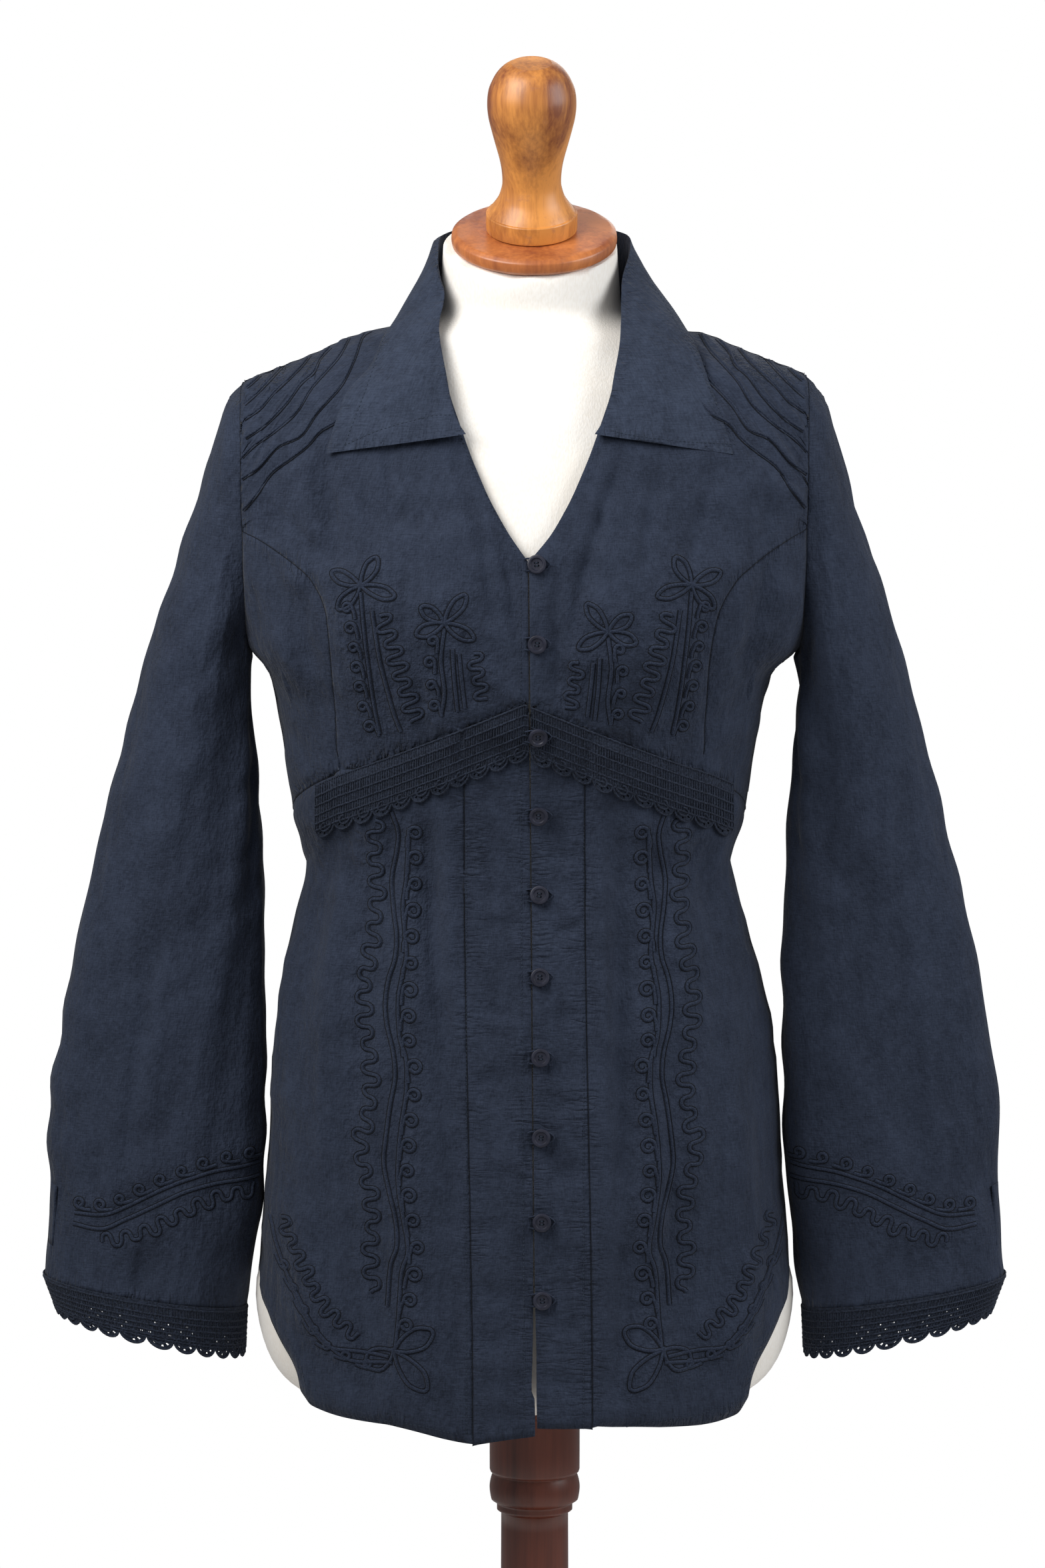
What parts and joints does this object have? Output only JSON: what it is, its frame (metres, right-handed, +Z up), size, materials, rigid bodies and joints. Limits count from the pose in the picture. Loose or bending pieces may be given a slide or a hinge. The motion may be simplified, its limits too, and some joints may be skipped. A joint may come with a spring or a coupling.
{
  "type": "long sleeved blouse on a limbless dress form with a turned stand",
  "caption": "Fitted shirt blouse with folded collar, corded shoulders, lace band and lace cuffs, worn by a limbless dress form on a turned wooden post and round base.",
  "frame": {"origin": "on the floor, under the middle of the part's overall box", "axes": "+Z up along the post, -Y out of the blouse's front, +X to the right as the front is looked at"},
  "size_m": [0.612, 0.33, 1.1831],
  "materials": {
    "cloth": "matte navy slub cotton",
    "lace": "matte navy cotton lace",
    "button": "satin",
    "jersey": "cream cotton jersey",
    "turned_wood": "varnished, worn",
    "post_wood": "dark stained, satin"
  },
  "bodies": {
    "root": {"front_bodice_left": "cloth", "front_bodice_right": "cloth", "side_front_left": "cloth", "side_front_right": "cloth", "back_bodice": "cloth", "front_skirt_left": "cloth", "front_skirt_right": "cloth", "placket_left": "cloth", "placket_right": "cloth", "back_skirt": "cloth", "collar": "cloth", "sleeve_left": "cloth", "sleeve_right": "cloth", "cuff_tab_left": "cloth", "cuff_tab_right": "cloth", "lace_band_left": "lace", "lace_band_right": "lace", "cuff_lace_left": "lace", "cuff_lace_right": "lace", "button_01": "button", "button_02": "button", "button_03": "button", "button_04": "button", "button_05": "button", "button_06": "button", "button_07": "button", "button_08": "button", "button_09": "button", "button_10": "button", "button_loop_01": "cloth", "button_loop_02": "cloth", "button_loop_03": "cloth", "button_loop_04": "cloth", "button_loop_05": "cloth", "button_loop_06": "cloth", "button_loop_07": "cloth", "button_loop_08": "cloth", "button_loop_09": "cloth", "button_loop_10": "cloth", "dress_form": "jersey", "neck_plate": "turned_wood", "neck_knob": "turned_wood", "stand_post": "post_wood", "stand_base": "post_wood"}
  },
  "joints": []
}
